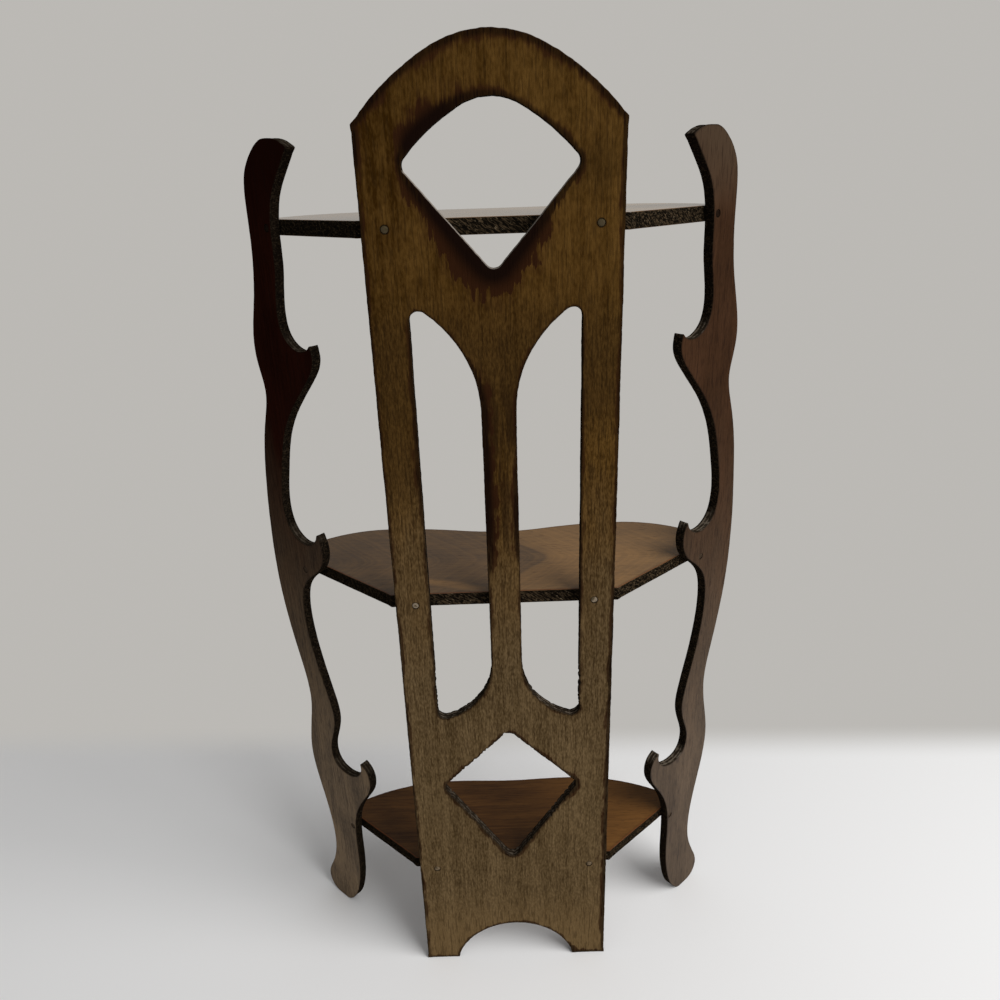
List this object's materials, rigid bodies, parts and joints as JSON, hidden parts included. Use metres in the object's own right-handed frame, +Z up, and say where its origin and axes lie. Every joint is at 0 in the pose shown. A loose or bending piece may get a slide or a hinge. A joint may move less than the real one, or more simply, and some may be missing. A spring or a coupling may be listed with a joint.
{
  "type": "wall shelf",
  "caption": "Tiered plywood wall shelf: pierced back panel with an arched top, bow-fronted shelves with angled back corners, and scrolled side boards, all nailed together.",
  "frame": {"origin": "on the floor, under the centre of the whole shelf's box", "axes": "+Z up, +Y out of the back panel's rear face towards the wall, +X to the right as seen from the room"},
  "size_m": [0.238, 0.08, 0.457],
  "materials": {
    "panel_wood": "olive-brown stain, unvarnished on the wall side, dark sawn edges",
    "shelf_wood": "red-brown stain under a glossy varnish, dark sawn edges",
    "side_wood": "dark red-brown stain under a satin varnish, dark sawn edges",
    "nail_steel": "dull grey steel with a little tarnish"
  },
  "bodies": {
    "root": {"back_panel": "panel_wood", "top_shelf": "shelf_wood", "middle_shelf": "shelf_wood", "bottom_shelf": "shelf_wood", "left_side": "side_wood", "right_side": "side_wood", "panel_nails": "nail_steel", "side_nails": "nail_steel"}
  },
  "joints": []
}
